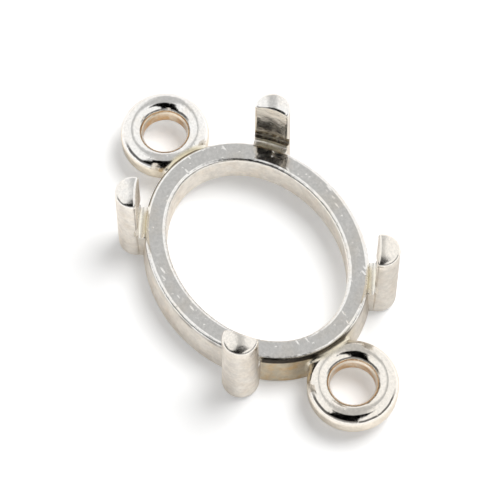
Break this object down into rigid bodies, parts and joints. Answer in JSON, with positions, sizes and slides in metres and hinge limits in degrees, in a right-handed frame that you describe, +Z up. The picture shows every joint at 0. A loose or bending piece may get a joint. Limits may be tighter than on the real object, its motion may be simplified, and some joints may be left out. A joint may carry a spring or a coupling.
{
  "type": "oval prong setting connector",
  "caption": "Open-back oval prong setting for a cut stone or cabochon, with a closed hanging loop at each end.",
  "frame": {"origin": "middle of the oval opening, on the plane of the base", "axes": "+X along the line through the two loops, +Z up through the prongs"},
  "size_m": [0.0158, 0.008, 0.0043],
  "materials": {
    "plated_metal": "bright silver plate over cast brass, polished loops and prong tips, satin band, warm tint at the joints"
  },
  "bodies": {
    "root": {"mounting": "plated_metal"}
  },
  "joints": []
}
